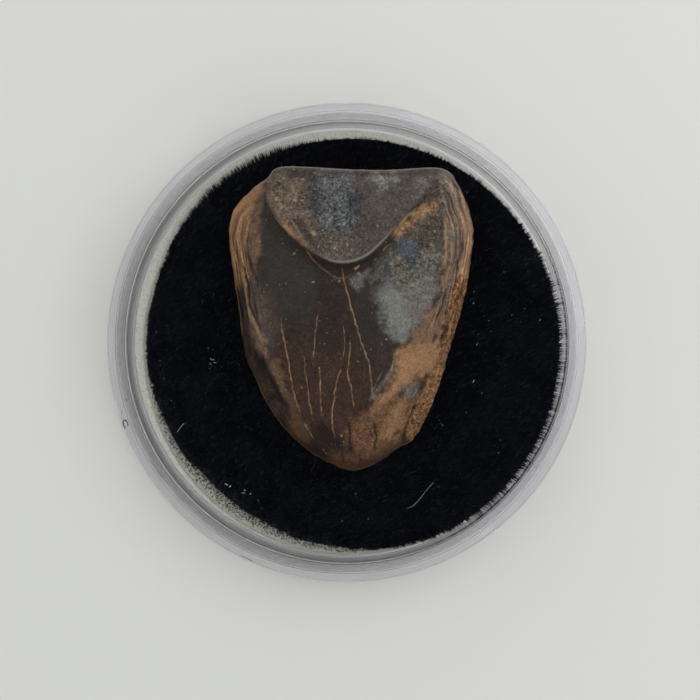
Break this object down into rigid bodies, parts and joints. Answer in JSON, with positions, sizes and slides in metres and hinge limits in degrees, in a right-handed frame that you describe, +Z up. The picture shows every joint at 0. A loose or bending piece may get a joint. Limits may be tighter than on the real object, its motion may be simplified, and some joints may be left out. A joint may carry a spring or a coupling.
{
  "type": "fossil ceratopsian tooth",
  "caption": "Worn fossil ceratopsian tooth with a raised U-shaped wear facet, resting on a black velvet pad in a round clear display jar base",
  "frame": {"origin": "centre of the jar's flat underside", "axes": "+Z up out of the jar, +Y to the tooth's wide worn end, +X to the tooth's right side seen from above"},
  "size_m": [0.0408, 0.0408, 0.0131],
  "materials": {
    "jar": "clear polished polystyrene",
    "foam": "fine white open-cell foam",
    "velvet": "black flocked velvet",
    "tooth": "brown fossil enamel, satin, with rough ochre flanks"
  },
  "bodies": {
    "root": {"jar_base": "jar", "foam_disc": "foam", "velvet_facing": "velvet", "tooth": "tooth"}
  },
  "joints": []
}
